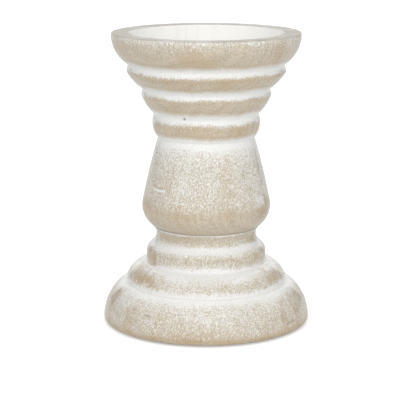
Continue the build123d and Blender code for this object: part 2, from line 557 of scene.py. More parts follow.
# %% [markdown]
# ## Marks of use
#
# A few single marks make this candlestick this one: a pinhole in the lowest groove, a shallow crescent
# where the vase was knocked while the paint was wet, a thin dark line down its right side, patches that
# were rubbed harder or softer, and a few scratches on the foot. Three patches at the cup's far left and right
# edges are painted light and shade instead: a lighter, greyer rim on the left, and a browner, darker side on
# the right. On the foot, most patches come in pairs at both sides and make the wood browner and less white
# towards its left and right edges. Each mark is a place on the surface, given by the angle round the axis (0
# in front, positive to the right) and the height. In a patch, a higher tone is browner wood and a lower one
# is greyer, and the share of white changes in flecked paint more than in solid white or bare wood.

# %% Marks
PATCHES = {
    "cup": [  # angle, height, half width in degrees, half height in mm, change of tone, change of paint
        (-2.0, 143.5, 16.0, 5.0, 0.55, -0.03),
        (50.0, 144.5, 5.0, 8.0, 0.5, 0.0),
        (58.0, 147.0, 9.0, 4.0, 0.45, 0.10),
        (-64.0, 146.0, 10.0, 6.0, 0.35, 0.0),
        (35.0, 104.0, 22.0, 4.0, 0.3, 0.0),
        # The two patches at -86 degrees are painted light, a whiter, greyer left edge where the backdrop lights
        # it. The one at 86 degrees is painted shade, a browner, less white right edge.
        (-86.0, 113.0, 18.0, 17.0, -0.3, 0.45),
        (-86.0, 137.5, 14.0, 5.0, -0.2, 0.35),
        (86.0, 124.0, 18.0, 17.0, 0.3, -0.30),
        (8.0, 130.5, 36.0, 3.0, 0.4, 0.0),
        (66.0, 133.0, 12.0, 4.0, 0.5, 0.05),
    ],
    "stem": [
        (61.0, 61.5, 8.0, 4.2, 0.9, -0.35),
        (82.0, 63.0, 18.0, 6.5, 0.6, -0.30),
        (86.0, 80.0, 13.0, 17.0, -0.9, -0.05),
        (57.0, 66.5, 9.0, 3.0, 0.2, 0.18),
        (-72.0, 63.0, 14.0, 5.0, 0.5, -0.2),
        (20.0, 78.0, 10.0, 16.0, 0.35, -0.04),
        (-22.0, 82.0, 12.0, 12.0, -0.2, 0.04),
        (55.0, 80.0, 8.0, 14.0, 0.1, 0.07),
        (-52.0, 77.0, 16.0, 6.0, 0.3, -0.05),
    ],
    "foot": [
        # Most of these come in pairs at both sides, and make the foot browner and less white towards its left and
        # right edges.
        (2.0, 13.5, 14.0, 3.0, -0.3, 0.08),
        (-6.0, 6.0, 18.0, 3.5, 0.5, 0.0),
        (-70.0, 9.0, 4.0, 10.0, 0.5, -0.08),
        (-50.0, 9.0, 6.0, 9.0, 0.3, -0.06),
        (50.0, 10.0, 4.0, 10.0, 0.4, -0.06),
        (63.0, 9.0, 3.5, 9.0, 0.5, -0.06),
        (26.0, 12.0, 8.0, 6.0, -0.2, 0.04),
        (68.0, 34.5, 24.0, 4.5, 0.5, -0.22),
        (-70.0, 34.5, 24.0, 4.5, 0.5, -0.25),
        (60.0, 29.5, 26.0, 4.0, 0.1, -0.14),
        (-58.0, 29.5, 26.0, 4.0, 0.1, -0.16),
        (80.0, 17.0, 20.0, 5.5, 0.2, -0.18),
        (-80.0, 17.0, 20.0, 5.5, 0.2, -0.15),
        (84.0, 48.5, 18.0, 3.5, 0.4, -0.20),
        (-20.0, 33.5, 14.0, 3.0, 0.4, -0.05),
        (-58.0, 47.0, 12.0, 3.0, 0.4, -0.05),
        (66.0, 47.0, 12.0, 3.0, 0.6, -0.15),
        (-52.0, 27.0, 16.0, 3.5, 0.4, -0.08),
        (60.0, 27.0, 9.0, 3.5, 0.6, -0.08),
        (24.0, 26.0, 22.0, 2.5, 0.3, -0.05),
    ],
}
PINHOLE = {"angle": -23.5, "height": 110.9, "size": 0.85, "depth": 0.9}
CRESCENT = {"angle": -51.0, "height": 75.6, "half_length": 6.0, "half_width": 0.8, "depth": 0.2, "sag": 1.1}
SIDE_LINE = {"angle": 67.0, "from": 58.0, "to": 95.0, "half_width": 0.75}
SCRATCHES = [  # angle, height, half length in mm, slope
    (54.0, 7.2, 4.5, 0.10),
    (-35.5, 13.4, 2.6, -0.15),
    (47.0, 24.6, 1.6, 0.3),
]


def apart(angle, other):
    """The difference between two angles in degrees, from -180 to 180."""
    return (angle - other + 180.0) % 360.0 - 180.0


def patch(angle, height, place, half_width, half_height, noise):
    """1 in the middle of a soft, ragged patch and 0 outside it."""
    reach = np.hypot(apart(angle, place[0]) / half_width, (height - place[1]) / half_height)
    return soft(reach + 0.45 * noise, 1.25, 0.35)


print(sum(len(marks) for marks in PATCHES.values()), "patches,", len(SCRATCHES), "scratches")

# %% [markdown]
# ## Spinning the outline
#
# A Screw modifier could spin the outline, but we want to move and paint single points, so we make the rings
# of points ourselves. Each point knows its angle and height, which is all that the paint plan and the marks
# need. The next steps change how deep the wood is worn at each point, and what the materials will read
# there: the wash of paint, the tone of the wood, pits, where the paint is smooth or worn, and where the
# recess is painted lighter, which is painted light against its shade.

# %% Rings of points
def spin(node, segments):
    """Every point of a spun outline: its angle in degrees, its radius and height in mm, and the way out."""
    skin = SimpleNamespace(node=node, segments=segments, rings=outlines[node][1:-1])
    skin.radius, skin.height = np.repeat(skin.rings, segments, axis=0).T.copy()
    theta = np.tile(np.linspace(0.0, 2.0 * math.pi, segments, endpoint=False), len(skin.rings))
    skin.angle = np.degrees((theta + math.pi) % (2.0 * math.pi) - math.pi)
    skin.out = np.stack([np.sin(theta), -np.cos(theta)], axis=1)
    skin.points = np.column_stack([skin.out * skin.radius[:, None], skin.height])
    skin.low, skin.high = (float(corner.z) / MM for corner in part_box(node))
    skin.smooth, skin.fresh, skin.worn = np.zeros((3, len(skin.points)))
    return skin


SEGMENTS = {"cup": 352, "stem": 384, "foot": 344}
skins = {node: spin(node, segments) for node, segments in SEGMENTS.items()}
print({node: len(skin.points) for node, skin in skins.items()}, "points")

# %% [markdown]
# ### Wear
#
# Wood moves after it is turned, so the pieces are a little out of round, and sanding along the grain leaves
# faint ripples. Edges lose a little more, here and there. Wood is only ever taken away, so the piece never
# grows beyond the design. The glued ends and the hidden faces are left alone.

# %% Wear
OUT_OF_ROUND = 0.07
RIPPLE = 0.035
WORN_EDGE = 0.22


def wear(skin):
    """Sets how deep each point is worn, in mm, and which way it gives."""
    normals = surface_normals(outlines[skin.node])[1:-1]
    skin.lean = np.repeat(normals, skin.segments, axis=0)
    rounding = np.gradient(np.unwrap(np.arctan2(normals[:, 1], normals[:, 0])))
    rounding /= np.maximum(np.hypot(*np.gradient(skin.rings, axis=0).T), 1e-6)
    edge = np.repeat(np.clip(rounding, 0.0, 1.0), skin.segments)
    shown = soft(skin.radius, CLOSE_FROM, CLOSE_FROM + 1.0)
    if skin.node != "cup":
        shown *= soft(skin.height, skin.high - 0.05, skin.high - 0.6)
    shown *= soft(skin.height, skin.low + 0.05, skin.low + 0.6)

    slow = lumps(skin.points, (19.0, 19.0, 31.0), 11)
    nicks = lumps(skin.points, (2.6, 2.6, 2.6), 12)
    ripples = lumps(skin.points, (1.7, 1.7, 11.0), 13)
    skin.depth = OUT_OF_ROUND * (0.5 + 0.5 * slow) + RIPPLE * (0.5 + 0.5 * ripples)
    skin.depth += edge * WORN_EDGE * soft(nicks, 0.1, 0.75)
    skin.depth *= shown


for skin in skins.values():
    wear(skin)
print("worn by up to", {node: round(skin.depth.max(), 2) for node, skin in skins.items()}, "mm")

# %% [markdown]
# ### Wash and tone
#
# Noise shifts the paint plan up and down by a fraction of a millimetre, because a cloth never follows a
# line. The patches are laid over it. Where one is rubbed right through, the wood shows small pits, and
# crumbs of paint are left beside them. Where the flecks thin out the wood is warmer, because the cloth
# rubbed hardest there.

# %% Wash and tone
WARM_BELT = 0.30


def wash_over(skin):
    """Sets the share of white, the tone of the wood and the pits from the paint plan and the patches."""
    points, height = skin.points, skin.height
    shift = 0.55 * lumps(points, (8.0, 8.0, 30.0), 14) + 0.25 * lumps(points, (2.4, 2.4, 9.0), 15)
    wash = painted(plans[skin.node], height + shift)
    skin.blotches = lumps(points, (11.0, 11.0, 17.0), 16)
    middling = 4.0 * wash * (1.0 - wash)
    wash += 0.03 * middling * skin.blotches
    tone = 0.30 * lumps(points, (9.0, 9.0, 26.0), 17) + 0.18 * lumps(points, (3.0, 3.0, 22.0), 18)
    skin.ragged = lumps(points, (3.2, 3.2, 5.0), 19)
    for place_angle, place_height, half_width, half_height, tone_change, paint_change in PATCHES[skin.node]:
        here = patch(skin.angle, height, (place_angle, place_height), half_width, half_height, skin.ragged)
        tone += here * tone_change
        wash += here * paint_change * np.clip(middling + 0.3 + abs(paint_change), 0.0, 1.0)
    rubbed = soft(tone, 0.65, 1.0)
    skin.pit = 0.45 * rubbed * soft(lumps(points, (0.9, 0.9, 1.3), 23), 0.15, 0.5)
    if skin.node != "cup":
        wash += 0.5 * rubbed * soft(lumps(points, (0.8, 0.8, 1.0), 24), 0.3, 0.6)
    tone += WARM_BELT * soft(wash, 0.0, 0.12) * soft(wash, 0.40, 0.20) * (height < top - 12.0)
    skin.wash, skin.tone = wash, tone
    for start in SOFT_ABOVE[skin.node]:
        brushed = soft(height, start - 1.6, start) * soft(height, start + 6.5, start + 4.0)
        skin.smooth = np.maximum(skin.smooth, brushed)


for skin in skins.values():
    wash_over(skin)
print({node: round(float(skin.wash.mean()), 2) for node, skin in skins.items()}, "of the points are white")

# %% [markdown]
# ### The cup's recess and pinhole
#
# Inside the recess nobody rubbed the paint, so it is whole and a little warmer, with faint streaks that
# were left by the brush at the back. Its white is also painted lighter than the paint outside, which is
# painted light against the shade in the recess. The flat rim is the opposite: candles and hands wore it
# down to grey wood, and its two edges chip first. The pinhole is a small bubble in the filler of the lowest
# groove.

# %% Marks on the cup
RECESS_SIDE = 41.0
RIM_FROM, RIM_EDGES = 38.0, (40.2, 48.4)


def across(skin, angle):
    """How far each point lies to the right of an angle, in mm round the surface."""
    return np.radians(apart(skin.angle, angle)) * skin.radius


def mark_cup(skin):
    """Lighter, cream paint in the recess as painted light against its shade, a worn rim and the pinhole."""
    inside = (skin.radius < RECESS_SIDE) & (skin.height > seat - 0.3)
    streaks = lumps(skin.points, (1.6, 1.6, 30.0), 20)
    rim = soft(skin.height, skin.high - 0.45, skin.high - 0.1) * (skin.radius > RIM_FROM)
    aged = soft(streaks, 0.1, 0.7) * soft(np.abs(apart(skin.angle, -150.0)), 55.0, 20.0)
    # This mask says where the white is painted lighter and creamier, which is painted light against the recess's
    # shade.
    skin.fresh, skin.worn = inside * (1.0 - rim) * (1.0 - 0.5 * aged), 0.85 * rim
    skin.wash = np.where(inside, 1.0 + 0.08 * streaks * soft(apart(skin.angle, 180.0), 0.0, 40.0), skin.wash)
    skin.wash += rim * (0.36 + 0.20 * skin.blotches - skin.wash)
    skin.tone = np.where(inside, 0.25 * streaks, skin.tone) - 1.1 * rim
    inner, outer = (np.abs(skin.radius - edge) for edge in RIM_EDGES)
    rim_edge = rim * np.maximum(soft(inner, 0.6, 0.1), soft(outer, 0.7, 0.2))
    chipped = np.maximum(rim * (0.12 + 0.12 * skin.ragged), 0.6 * rim_edge * (0.7 + 0.3 * skin.ragged))
    skin.pit = chipped + skin.pit * (1.0 - rim)
    reach = np.hypot(across(skin, PINHOLE["angle"]), skin.height - PINHOLE["height"])
    hole = soft(reach, PINHOLE["size"], 0.25) * (skin.radius > CLOSE_FROM)
    skin.depth += PINHOLE["depth"] * hole
    skin.pit = np.maximum(skin.pit, hole)


mark_cup(skins["cup"])
print("cup marked, deepest", round(skins["cup"].depth.max(), 2), "mm")

# %% [markdown]
# ### The stem's crescent and side line
#
# The crescent is a shallow dent that sags in its middle, with a lip of paint pushed down below it. The side
# line is a fine crack full of dirt, too narrow to show any depth. It fades out at both ends and has gaps.

# %% Marks on the stem
def mark_stem(skin):
    """The crescent and the line down the side."""
    share = across(skin, CRESCENT["angle"]) / CRESCENT["half_length"]
    middle = CRESCENT["height"] - CRESCENT["sag"] * (1.0 - share ** 2)
    within = soft(np.abs(share), 1.1, 0.6)
    dent = within * soft(np.abs(skin.height - middle), CRESCENT["half_width"] * 1.5, 0.1)
    skin.depth += CRESCENT["depth"] * dent
    lip = within * soft(np.abs(skin.height - middle + 1.2), 0.9, 0.2)
    skin.wash += 0.3 * lip - 0.1 * dent
    skin.tone += 0.25 * dent
    aside = across(skin, SIDE_LINE["angle"]) + 0.5 * lumps(skin.points, (9.0, 9.0, 9.0), 21)
    line = soft(np.abs(aside), SIDE_LINE["half_width"] * 1.6, 0.1)
    line *= soft(skin.height, SIDE_LINE["from"], SIDE_LINE["from"] + 4.0)
    breaks = soft(lumps(skin.points, (2.0, 2.0, 1.6), 22), -0.5, 0.3)
    line *= soft(skin.height, SIDE_LINE["to"], SIDE_LINE["to"] - 12.0) * breaks
    skin.pit = np.maximum(skin.pit, 0.6 * line)


mark_stem(skins["stem"])
print("stem marked, deepest", round(skins["stem"].depth.max(), 2), "mm")

# %% [markdown]
# ### The foot's scratches
#
# A foot is pushed about on tables, so it has a few short scratches. Towards its lowest edge the wood
# turns warmer. Its underside only caught a thin wash.

# %% Marks on the foot
SCRATCH_DEPTH = 0.12
UNDERSIDE_WASH = 0.22


def mark_foot(skin):
    """Scratches, a warm lower edge and a thin wash underneath."""
    skin.tone += 0.35 * soft(skin.height, 8.0, 3.0)
    for place_angle, place_height, half_length, slope in SCRATCHES:
        aside = across(skin, place_angle)
        off_line = np.abs(skin.height - place_height - slope * aside)
        cut = soft(np.abs(aside), half_length, half_length * 0.6) * soft(off_line, 0.7, 0.15)
        skin.depth += SCRATCH_DEPTH * cut * (skin.radius > 36.0)
        skin.pit = np.maximum(skin.pit, 0.45 * cut)
    skin.wash = np.where(skin.height < skin.low + 0.3, UNDERSIDE_WASH, skin.wash)


mark_foot(skins["foot"])
print("foot marked, deepest", round(skins["foot"].depth.max(), 2), "mm")

# %% [markdown]
# ### From rings to a mesh
#
# The rings are joined by four-sided faces, and a fan of triangles closes each end at a pole on the axis.
# The felt pads will use the same faces.

# %% Faces between rings
def ring_faces(rings, segments):
    """Faces between rings of points, and fans from the two poles, which come after all the rings."""
    this = np.arange(segments)
    following = (this + 1) % segments
    start = np.arange(rings - 1)[:, None] * segments
    above = start + segments
    quads = np.stack([start + this, start + following, above + following, above + this], axis=-1)
    first_pole, last_pole, last = rings * segments, rings * segments + 1, (rings - 1) * segments
    pairs = list(zip(this.tolist(), following.tolist()))
    fans = [(first_pole, b, a) for a, b in pairs] + [(last_pole, last + a, last + b) for a, b in pairs]
    return quads.reshape(-1, 4).tolist() + fans


print(len(ring_faces(3, 8)), "faces on three rings of eight points")

# %% [markdown]
# ### The turned pieces
#
# Each point is moved inwards by its wear. Shading is smooth, except at edges sharper than 50 degrees and at
# the corners of the glued joints, which would otherwise be shaded as if they were round. The wash, the tone
# and the other values are stored on the points as attributes, where the materials can read them.

# %% Turn the pieces
SHARP_ANGLE = math.radians(50)
RECESS_FLOOR_WASH = 0.93


def store(data, title, values, at_poles=(0.0, 0.0)):
    """Keeps a value for every point as an attribute of the mesh."""
    attribute = data.attributes.new(title, "FLOAT", "POINT")
    attribute.data.foreach_set("value", np.concatenate([values, at_poles]).astype(np.float32))


def keep_corners(data, skin):
    """Marks the corner ring at each glued joint as sharp."""
    ends = np.empty(2 * len(data.edges), dtype=int)
    data.edges.foreach_get("vertices", ends)
    ring_of = ends.reshape(-1, 2) // skin.segments
    sharp = np.empty(len(data.edges), dtype=bool)
    data.attributes["sharp_edge"].data.foreach_get("value", sharp)
    for joint in JOINTS[skin.node]:
        corner = np.argmax(skin.rings[:, 0] * (np.abs(skin.rings[:, 1] - joint) < 0.06))
        sharp |= (ring_of == corner).all(axis=1)
    data.attributes["sharp_edge"].data.foreach_set("value", sharp)


def turn(node, skin):
    """The finished mesh of a turned piece, worn and with its painted attributes."""
    outline = outlines[node]
    radius = skin.radius - skin.depth * skin.lean[:, 0]
    height = skin.height - skin.depth * skin.lean[:, 1]
    points = np.column_stack([skin.out * radius[:, None], height])
    poles = np.array([[0.0, 0.0, outline[0, 1]], [0.0, 0.0, outline[-1, 1]]])
    data = bpy.data.meshes.new(node + "_turned")
    data.from_pydata(np.concatenate([points, poles]) * MM, [], ring_faces(len(skin.rings), skin.segments))
    near_axis = np.where(skin.height > seat - 1.0, RECESS_FLOOR_WASH, 0.0)
    wash = np.where(skin.radius > CLOSE_FROM, skin.wash, near_axis)
    store(data, "wash", wash, wash[[0, -1]])
    store(data, "tone", skin.tone)
    store(data, "pit", skin.pit)
    store(data, "smooth", skin.smooth)
    store(data, "fresh", skin.fresh, skin.fresh[[0, -1]])
    store(data, "worn", skin.worn)
    data.shade_smooth()
    data.set_sharp_from_angle(angle=SHARP_ANGLE)
    keep_corners(data, skin)
    data.update()
    piece = bpy.data.objects.new(node + "_turned", data)
    bpy.context.scene.collection.objects.link(piece)
    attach(piece, "root")
    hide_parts(node)
    return piece


pieces = {node: turn(node, skin) for node, skin in skins.items()}
for node, piece in pieces.items():
    print(node, sum(len(face.vertices) - 2 for face in piece.data.polygons), "triangles")

# %% [markdown]
# ## Node groups
#
# Three effects are shared by the wooden pieces: the grain of the wood, the rubbed paint and the fine lines
# that a turning tool leaves. Each is a node group, so it is built once and every material sets its own
# values. All of them read the place on the piece in millimetres, so their sizes can be given as on the real
# thing. The grain runs up the piece, so every pattern is stretched along Z.

# %% Group helpers
def start_group(name, inputs, outputs):
    """Starts a node group. Inputs and outputs are names with their socket types."""
    group = bpy.data.node_groups.new(name, "ShaderNodeTree")
    for direction, sockets in (("INPUT", inputs), ("OUTPUT", outputs)):
        for title, kind in sockets.items():
            group.interface.new_socket(title, in_out=direction, socket_type="NodeSocket" + kind)
    given = group.nodes.new("NodeGroupInput").outputs
    wanted = group.nodes.new("NodeGroupOutput").inputs
    return group, given, wanted


def place_group(tree, group, **inputs):
    """Places a group in a material, fills its inputs by name, and returns its outputs."""
    made = tree.nodes.new("ShaderNodeGroup")
    made.node_tree = group
    for title, value in inputs.items():
        link_input(tree, made.inputs[title.replace("_", " ")], value)
    return made.outputs


def length_of(tree, vector):
    """How long a vector is."""
    made = tree.nodes.new("ShaderNodeVectorMath")
    made.operation = "LENGTH"
    tree.links.new(vector, made.inputs[0])
    return made.outputs["Value"]


def stretched_noise(tree, place, per_mm, detail, roughness=0.5):
    """Noise with its own frequency across and along the grain."""
    scaled = vector_node(tree, "MULTIPLY", place, per_mm)
    return add(tree, "TexNoise", "Fac", Vector=scaled, Scale=1.0, Detail=detail, Roughness=roughness)


print("group helpers ready")

# %% [markdown]
# ### Grain
#
# Growth rings are shells round the pith, the middle of the tree. A blank is cut from beside it, so the
# rings cross the piece as stripes that widen where the surface swells. Fibres are long thin streaks. Pores
# are short dark dashes, and only some cells of a stretched Voronoi pattern get one.

# %% Grain group
def build_grain():
    """Growth rings, fibres and pores of wood whose grain runs along Z."""
    group, given, wanted = start_group(
        "grain", {"Place": "Vector", "Pith": "Vector", "Ring Width": "Float"},
        {"Rings": "Float", "Fibres": "Float", "Pores": "Float"})
    place = given["Place"]
    bending = vector_node(group, "MULTIPLY", place, (0.030, 0.030, 0.011))
    bend = add(group, "TexNoise", "Color", Vector=bending, Scale=1.0, Detail=2.0)
    off_middle = vector_node(group, "SUBTRACT", bend, (0.5, 0.5, 0.5))
    sway = vector_node(group, "MULTIPLY", off_middle, (16.0, 16.0, 0.0))
    from_pith = vector_node(group, "ADD", vector_node(group, "SUBTRACT", place, given["Pith"]), sway)
    flat = vector_node(group, "MULTIPLY", from_pith, (1.0, 1.0, 0.0))
    turns = math_node(group, "DIVIDE", length_of(group, flat), given["Ring Width"])
    phase = math_node(group, "FRACT", turns)
    growing = smooth_step(group, phase, 0.25, 0.90)
    ending = smooth_step(group, phase, 0.93, 1.0)
    group.links.new(math_node(group, "SUBTRACT", growing, ending), wanted["Rings"])
    group.links.new(stretched_noise(group, place, (1.9, 1.9, 0.085), 3.0, 0.6), wanted["Fibres"])
    cells = vector_node(group, "MULTIPLY", place, (1.25, 1.25, 0.30))
    pore = group.nodes.new("ShaderNodeTexVoronoi")
    group.links.new(cells, pore.inputs["Vector"])
    pore.inputs["Scale"].default_value = 1.0
    dash = smooth_step(group, pore.outputs["Distance"], 0.24, 0.12)
    chance = group.nodes.new("ShaderNodeSeparateColor")
    group.links.new(pore.outputs["Color"], chance.inputs[0])
    some = math_node(group, "GREATER_THAN", chance.outputs[0], 0.45)
    group.links.new(math_node(group, "MULTIPLY", dash, some), wanted["Pores"])
    return group


grain_group = build_grain()
print(grain_group.name, "gives", [socket.name for socket in grain_group.interface.items_tree
                                 if socket.in_out == "OUTPUT"])

# %% [markdown]
# ### Rubbed paint
#
# The share of white at each point says how much paint is left, but paint does not fade: it breaks up. The
# share is compared with a ragged noise. Where the share is higher, there is paint. Fine flecks about half a
# millimetre across, a little taller than wide, look like paint caught in the brushed grain. The edge of a
# fleck is thin, so the film gets its own soft thickness. Where the brush left the paint smooth, the noise
# is evened out and the edges of the flecks are softer.

# %% Rubbed paint group
def build_rubbed_paint():
    """Where there is paint, and how thick its film is, from the share of white."""
    group, given, wanted = start_group(
        "rubbed paint",
        {"Place": "Vector", "Share": "Float", "Smoothness": "Float", "Fleck Size": "Float",
         "Softness": "Float"},
        {"Paint": "Float", "Film": "Float"})
    per_mm = math_node(group, "DIVIDE", 1.0, given["Fleck Size"])
    steps = group.nodes.new("ShaderNodeVectorMath")
    steps.operation = "SCALE"
    group.links.new(given["Place"], steps.inputs[0])
    group.links.new(per_mm, steps.inputs["Scale"])
    flecks = stretched_noise(group, steps.outputs[0], (1.0, 1.0, 0.60), 2.0, 0.60)
    long_streaks = stretched_noise(group, steps.outputs[0], (1.1, 1.1, 0.12), 1.0, 0.5)
    drifts = stretched_noise(group, steps.outputs[0], (0.12, 0.12, 0.07), 2.0, 0.5)
    ragged = math_node(group, "MULTIPLY_ADD", long_streaks, 0.25, math_node(group, "MULTIPLY", flecks, 0.75))
    evening = math_node(group, "SUBTRACT", 0.5, ragged)
    evening = math_node(group, "MULTIPLY", evening, math_node(group, "MULTIPLY", given["Smoothness"], 0.75))
    ragged = math_node(group, "ADD", ragged, evening)
    ragged = math_node(group, "MULTIPLY_ADD", drifts, 0.06, ragged)
    needed = math_node(group, "MULTIPLY_ADD", given["Share"], -0.46, 0.76)
    over = math_node(group, "SUBTRACT", ragged, needed)
    softness = math_node(group, "MULTIPLY_ADD", given["Smoothness"], 0.22, given["Softness"])
    hardness = math_node(group, "DIVIDE", 1.0, softness)
    group.links.new(math_node(group, "MULTIPLY_ADD", over, hardness, 0.5, clamp=True), wanted["Paint"])
    group.links.new(math_node(group, "MULTIPLY_ADD", over, 5.0, 0.6, clamp=True), wanted["Film"])
    return group


rubbed_paint_group = build_rubbed_paint()
print(rubbed_paint_group.name, "built")

# %% [markdown]
# ### Tool lines
#
# On flat faces, such as the floor of the recess, the tool leaves fine circles. They depend only on the
# distance from the axis. Along the outer side the sandpaper leaves fainter lines that depend on the height.
# One noise that is read at radius and height gives both.

# %% Tool lines group
def build_tool_lines():
    """Fine lines at random distances from the axis and at random heights."""
    group, given, wanted = start_group(
        "tool lines", {"Place": "Vector", "Lines Per Mm": "Float"}, {"Lines": "Float"})
    flat = vector_node(group, "MULTIPLY", given["Place"], (1.0, 1.0, 0.0))
    radius = length_of(group, flat)
    parts = group.nodes.new("ShaderNodeSeparateXYZ")
    group.links.new(given["Place"], parts.inputs[0])
    spot = group.nodes.new("ShaderNodeCombineXYZ")
    group.links.new(math_node(group, "MULTIPLY", radius, given["Lines Per Mm"]), spot.inputs[0])
    group.links.new(math_node(group, "MULTIPLY", parts.outputs["Z"], given["Lines Per Mm"]), spot.inputs[1])
    noise = add(group, "TexNoise", "Fac", Vector=spot.outputs[0], Scale=1.0, Detail=2.0)
    group.links.new(noise, wanted["Lines"])
    return group


tool_lines_group = build_tool_lines()
print(tool_lines_group.name, "built")

# %% [markdown]
# ## Bare wood
#
# The wood is a pale tan. Rings and fibres streak it, a fine stipple breaks the streaks up, and pores darken
# it. The rings are darker late wood, and the fibres stand up a little between the pores, so both colour and
# relief come from the same patterns.

# %% Bare wood
PALE_WOOD = (0.610, 0.540, 0.420, 1.0)
LATE_WOOD = (0.405, 0.328, 0.222, 1.0)
PORE_BROWN = (0.180, 0.130, 0.085, 1.0)
MM_PER_METRE = 1000.0
WOOD_IOR = 1.45
GRAIN_RELIEF = 0.00008


def start_material(name):
    """A new material, its nodes, its shader, and the place on the piece in mm."""
    material = bpy.data.materials.new(name)
    material.use_nodes = True
    tree = material.node_tree
    place = vector_node(tree, "MULTIPLY", add(tree, "TexCoord", "Object"), (MM_PER_METRE,) * 3)
    return material, tree, tree.nodes["Principled BSDF"], place


def bare_wood(tree, place, pith, ring_width):
    """The colour, pores, roughness, relief and stipple of bare wood."""
    grain = place_group(tree, grain_group, Place=place, Pith=pith, Ring_Width=ring_width)
    lines = place_group(tree, tool_lines_group, Place=place, Lines_Per_Mm=1.6)["Lines"]
    fibre = smooth_step(tree, grain["Fibres"], 0.30, 0.72)
    stipple = smooth_step(tree, stretched_noise(tree, place, (2.3, 2.3, 1.2), 2.0, 0.6), 0.40, 0.62)
    late = math_node(tree, "MULTIPLY_ADD", grain["Rings"], 0.25, math_node(tree, "MULTIPLY", fibre, 0.50))
    late = math_node(tree, "MULTIPLY_ADD", stipple, -0.70, math_node(tree, "ADD", late, 0.40), clamp=True)
    colour = mix_colours(tree, late, PALE_WOOD, LATE_WOOD)
    pores = math_node(tree, "MULTIPLY", grain["Pores"], 0.55)
    rough = math_node(tree, "MULTIPLY_ADD", fibre, 0.10, 0.50)
    relief = math_node(tree, "MULTIPLY_ADD", grain["Pores"], -0.9, math_node(tree, "MULTIPLY", fibre, 0.45))
    relief = math_node(tree, "MULTIPLY_ADD", lines, 0.5, relief)
    return SimpleNamespace(colour=colour, pores=pores, rough=rough, relief=relief, stipple=stipple)


def finish_wood(tree, shader, wood, **under):
    """Joins the colour, roughness and relief of wood to its shader, over a Normal where one is given."""
    bump = add(tree, "Bump", Distance=GRAIN_RELIEF, Height=wood.relief, **under)
    tree.links.new(wood.colour, shader.inputs["Base Color"])
    tree.links.new(wood.rough, shader.inputs["Roughness"])
    tree.links.new(bump, shader.inputs["Normal"])


print("late wood is", round(PALE_WOOD[0] / LATE_WOOD[0], 1), "times as dark as pale wood")

# %% [markdown]
# ### Weathered wood
#
# Wood that is rubbed goes warm and then deep brown, and wood that is handled goes grey. The tone attribute
# says which: above 0 it is warmer, near 1 it turns deep brown, and below 0 it is greyer.

# %% Weathered wood
WARM_WOOD = (0.455, 0.315, 0.170, 1.0)
DEEP_WOOD = (0.230, 0.130, 0.060, 1.0)
GREY_WOOD = (0.480, 0.455, 0.400, 1.0)


def stored(tree, title):
    """Reads an attribute that was stored on the points."""
    return add(tree, "Attribute", "Fac", attribute_name=title)


def weathered(tree, wood):
    """The colour of the wood after the tone attribute and the pores."""
    tone = stored(tree, "tone")
    warm = math_node(tree, "MULTIPLY", tone, 0.80, clamp=True)
    deep = math_node(tree, "MULTIPLY_ADD", tone, 0.8, -0.68, clamp=True)
    grey = math_node(tree, "MULTIPLY", tone, -0.80, clamp=True)
    colour = mix_colours(tree, warm, wood.colour, WARM_WOOD)
    colour = mix_colours(tree, deep, colour, DEEP_WOOD)
    colour = mix_colours(tree, grey, colour, GREY_WOOD)
    return mix_colours(tree, wood.pores, colour, PORE_BROWN)


print("tone turns the wood warm, deep or grey")

# %% [markdown]
# ## White paint over the wood
#
# White lies over the wood where the paint group says so, and a very thin veil of paint lies between the
# flecks. Wood is satin and paint is chalky, so the roughness follows the paint. A clear coat lies over
# both, except where the rim is worn. Two bumps carry the fine relief: the film with its flecks, then the
# fibres, pores and tool lines. Each piece is its own blank, with its own pith, so the grain does not run on
# across a glued joint.

# %% White-washed wood
WHITE_PAINT = (0.850, 0.860, 0.858, 1.0)
# The recess gets a cream white painted lighter than WHITE_PAINT: painted light against the shade in the recess.
LIT_CREAM_PAINT = (0.885, 0.880, 0.850, 1.0)
THIN_PAINT = (0.680, 0.650, 0.585, 1.0)
FLECK_SIZE = 0.46
VEIL = 0.04
COAT, COAT_ROUGHNESS = 0.9, 0.07
FILM_RELIEF = 0.00010


def whitewash(tree, place, wood):
    """Lays rubbed white paint over the wood, and returns the paint with its film."""
    share = stored(tree, "wash")
    brushed = stored(tree, "smooth")
    paint = place_group(tree, rubbed_paint_group, Place=place, Share=share, Smoothness=brushed,
                        Fleck_Size=FLECK_SIZE, Softness=0.06)
    stippled = math_node(tree, "MULTIPLY_ADD", wood.stipple, 0.5, 0.5)
    thickness = math_node(tree, "MULTIPLY", paint["Film"], stippled)
    white = mix_colours(tree, thickness, THIN_PAINT, WHITE_PAINT)
    # In the recess the white turns to a lighter cream, as painted light against its shade.
    white = mix_colours(tree, stored(tree, "fresh"), white, LIT_CREAM_PAINT)
    veiled = mix_colours(tree, math_node(tree, "MULTIPLY_ADD", share, 0.14, VEIL), wood.colour, THIN_PAINT)
    cover = math_node(tree, "MULTIPLY_ADD", share, 0.15, 0.85, clamp=True)
    cover = math_node(tree, "MULTIPLY", paint["Paint"], cover)
    wood.colour = mix_colours(tree, cover, veiled, white)
    wood.colour = mix_colours(tree, stored(tree, "pit"), wood.colour, PORE_BROWN)
    wood.rough = math_node(tree, "MULTIPLY_ADD", paint["Paint"], 0.20, wood.rough)
    return paint


